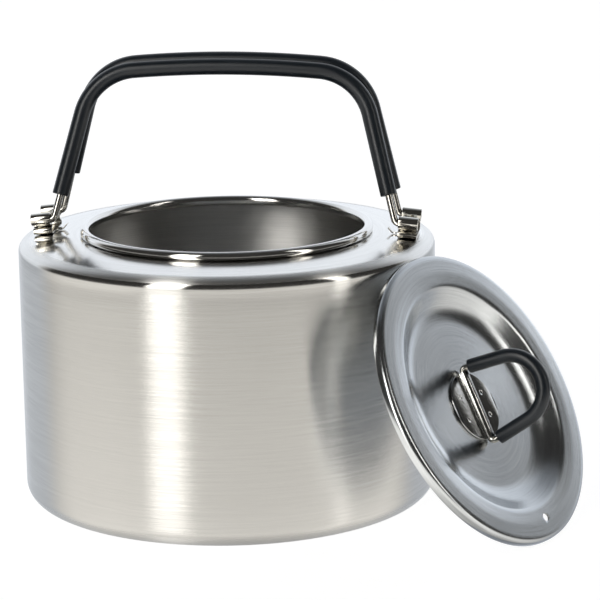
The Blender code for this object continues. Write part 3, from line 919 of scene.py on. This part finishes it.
# %% Room
TABLE_WARM = (1.0, 0.975, 0.925, 1)
BACK_BLUE = (0.93, 0.98, 1.05, 1)
PURE_WHITE = (1, 1, 1, 1)
TABLE_LEVEL = 1.06
BACKDROP_LEVEL = 1.1
DARK_LEVEL = 0.04
HORIZON = (-0.16, 0.02)
BOX_RISE = (0.12, 0.3)
BOX_TOP = (0.7, 0.8)
BOX_SOFT = 2
LEFT_BOX = (-43, -23)
RIGHT_BOX = (61, 70)
BACKDROP_EDGE = (108, 127)
FLOOR_SIZE = 6.0
FLOOR_DROP = 0.2 * MM
FLOOR_GREY = (0.86, 0.86, 0.86, 1)
FLOOR_GLOW = 1.3
FLOOR_GLOW_SHARE = 0.7
AIM_HEIGHT = 0.06


def between_angles(azimuth, painted_low_light, high, soft):
    """1 between two azimuths in degrees, with soft flanks."""
    return azimuth.between(painted_low_light - soft, painted_low_light + soft) * (1 - azimuth.between(high - soft, high + soft))


def tall_box(azimuth, z, edges, faint, middle, bright):
    """Soft box between two azimuths: faint below the horizon, and brighter in two steps up."""
    strength = faint + middle * z.between(*HORIZON) + bright * z.between(*BOX_RISE)
    return between_angles(azimuth, *edges, BOX_SOFT) * strength * (1 - z.between(*BOX_TOP))


def make_room():
    """World seen by mirrors; the camera itself sees plain white."""
    world = bpy.data.worlds.new("room")
    bpy.context.scene.world = world
    room = Finish("room", world)
    x, y, z = room.split(room.node("ShaderNodeTexCoord", output="Generated"))
    right = x * cosd(CAMERA_YAW) + y * sind(CAMERA_YAW)
    away = y * cosd(CAMERA_YAW) - x * sind(CAMERA_YAW)
    azimuth = right.math("ARCTAN2", right, 0 - away) * (180 / math.pi)
    aside = azimuth.size()
    behind = aside.between(*BACKDROP_EDGE)
    above = z.between(*HORIZON)
    left_glow = between_angles(azimuth, -85, -40, 22)
    far_fall = 0.50 * aside.between(95, 130) - 0.2 * aside.between(145, 170)
    table = TABLE_LEVEL + 0.10 * left_glow + 0.04 * (1 - azimuth.between(-30, 20)) - far_fall
    table = table * (0.5 + 0.5 * z.between(-0.95, -0.55))
    backdrop = BACKDROP_LEVEL - 0.95 * z.between(0.42, 1.0)
    walls = DARK_LEVEL + (backdrop - DARK_LEVEL) * behind
    left_box = tall_box(azimuth, z, LEFT_BOX, 0.1, 1.7, 2.5)
    right_box = tall_box(azimuth, z, RIGHT_BOX, 0.3, 1.5, 1.5)
    level = table * (1 - above) + walls * above + left_box + right_box
    tint = room.mix(behind, TABLE_WARM, BACK_BLUE)
    seen = room.node("ShaderNodeLightPath", output="Is Camera Ray")
    room.set(color=room.mix(seen, tint, PURE_WHITE), strength=level * (1 - seen) + seen)


def stage_finish():
    """Pale floor that keeps its shadows, nearly white to the camera and absent from mirrors."""
    finish = Finish("floor")
    finish.set(base_color=FLOOR_GREY, roughness=0.9)
    matt = Value(finish, finish.shader.outputs[0])
    glow = finish.node("ShaderNodeEmission", {}, {"Color": PURE_WHITE, "Strength": FLOOR_GLOW})
    clear = finish.node("ShaderNodeBsdfTransparent")
    by_camera = finish.node("ShaderNodeLightPath", output="Is Camera Ray")
    by_mirror = finish.node("ShaderNodeLightPath", output="Is Glossy Ray")
    white = finish.node("ShaderNodeMixShader", {}, {0: by_camera * FLOOR_GLOW_SHARE, 1: matt, 2: glow})
    both = finish.node("ShaderNodeMixShader", {}, {0: by_mirror, 1: white, 2: clear})
    finish.feed(finish.nodes["Material Output"].inputs["Surface"], both)
    return finish.material


def make_floor():
    """One square just under the kettle."""
    mesh = bpy.data.meshes.new("floor")
    half = FLOOR_SIZE / 2
    corners = [(-half, -half), (half, -half), (half, half), (-half, half)]
    mesh.from_pydata([(*corner, -FLOOR_DROP) for corner in corners], [], [(0, 1, 2, 3)])
    floor = bpy.data.objects.new("floor", mesh)
    bpy.context.scene.collection.objects.link(floor)
    mesh.materials.append(stage_finish())


def soft_light(name, azimuth, elevation, distance, size, power):
    """Area light that faces the pot from an azimuth and a height, both in degrees."""
    data = bpy.data.lights.new(name, "AREA")
    data.shape = "RECTANGLE"
    data.size = size[0]
    data.size_y = size[1]
    data.energy = power
    light = bpy.data.objects.new(name, data)
    bpy.context.scene.collection.objects.link(light)
    turn = azimuth + CAMERA_YAW
    away = Vector((sind(turn) * cosd(elevation), -cosd(turn) * cosd(elevation), sind(elevation)))
    light.location = Vector((0, 0, AIM_HEIGHT)) + away * distance
    light.rotation_euler = away.to_track_quat("Z", "Y").to_euler()


make_floor()
make_room()
soft_light("left_box", azimuth=-33, elevation=25, distance=1.6, size=(0.4, 1.2), power=3)
